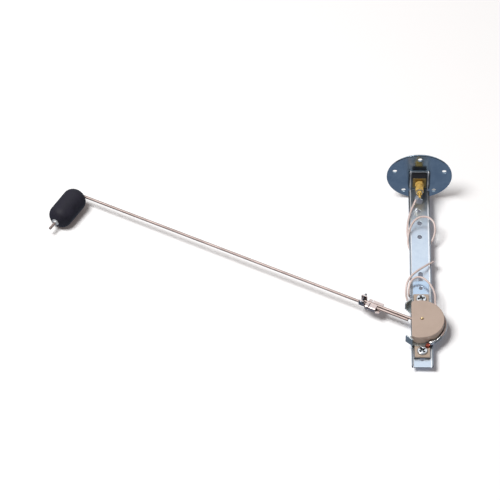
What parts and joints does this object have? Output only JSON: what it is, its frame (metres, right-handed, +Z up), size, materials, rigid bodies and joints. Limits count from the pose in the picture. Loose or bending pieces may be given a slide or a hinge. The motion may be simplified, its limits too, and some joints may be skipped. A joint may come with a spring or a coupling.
{
  "type": "fuel level sender",
  "caption": "Float-arm fuel level sender: a round bolt-on tank flange, a slotted channel bracket, a sliding D-shaped resistance sensor, a lead wire and a long rod with a black float.",
  "frame": {"origin": "centre of the underside of the tank flange, where it meets the tank's seat", "axes": "+Z up out of the tank along the flange's axis; the float arm leaves the sensor towards -X; the sensor's cover faces -Y"},
  "size_m": [0.419, 0.068, 0.2531],
  "materials": {
    "zinc_plate": "bright blue-white zinc plate",
    "insulator_black": "moulded",
    "brass": "turned, lightly aged",
    "washer_steel": "zinc plated",
    "terminal_tin": "tinned",
    "wire_insulation": "pinkish white insulation",
    "board_tan": "moulded phenolic",
    "cover_tan": "moulded, matt",
    "screw_zinc": "bright zinc",
    "card_brown": "laminated card",
    "resistance_wire": "drawn alloy wire",
    "copper": "copper with solder",
    "spring_bronze": "spring bronze",
    "contact_silver": "silver contact",
    "rod_steel": "drawn steel rod",
    "clip_steel": "plated sheet",
    "float_foam": "closed-cell black float, soft sheen"
  },
  "bodies": {
    "mounting": {"flange_disc": "zinc_plate", "bracket_channel": "zinc_plate", "insulating_bush": "insulator_black", "insulator_block": "insulator_black", "contact_plate": "brass", "terminal_stud": "brass", "stud_nuts": "brass", "ring_nut": "brass", "stud_collar": "brass", "stud_washer": "washer_steel", "ring_terminal": "terminal_tin", "lead_wire": "wire_insulation"},
    "sensor_unit": {"clamp_strap": "zinc_plate", "base_board": "board_tan", "stop_plate": "zinc_plate", "sensor_cover": "cover_tan", "clamp_screws": "screw_zinc", "clamp_washers": "washer_steel", "clamp_nuts": "screw_zinc", "pivot_bush": "brass", "resistance_card": "card_brown", "resistance_winding": "resistance_wire", "solder_terminal": "copper"},
    "float_arm": {"pivot_shaft": "brass", "shaft_retainer": "washer_steel", "wiper_hub": "brass", "wiper_blade": "spring_bronze", "wiper_contact": "contact_silver", "stub_rod": "rod_steel", "rod_clip": "clip_steel", "clip_screw": "screw_zinc", "clip_nut": "screw_zinc"},
    "float_rod": {"float_rod": "rod_steel", "float_body": "float_foam", "push_nut": "screw_zinc"}
  },
  "joints": [
    {"name": "depth_slide", "type": "slide", "parent": "mounting", "child": "sensor_unit", "axis": [0, 0, 1], "range_m": [-0.0081, 0.0363], "deforming": ["lead_wire"]},
    {"name": "arm_pivot", "type": "hinge", "parent": "sensor_unit", "child": "float_arm", "pos_m": [0, 0.0115, -0.1842], "axis": [0, 1, 0], "range_deg": [-65.5, 21]},
    {"name": "rod_slide", "type": "slide", "parent": "float_arm", "child": "float_rod", "axis": [-0.9018, 0, 0.4321], "range_m": [-0.002, 0.0275]}
  ]
}
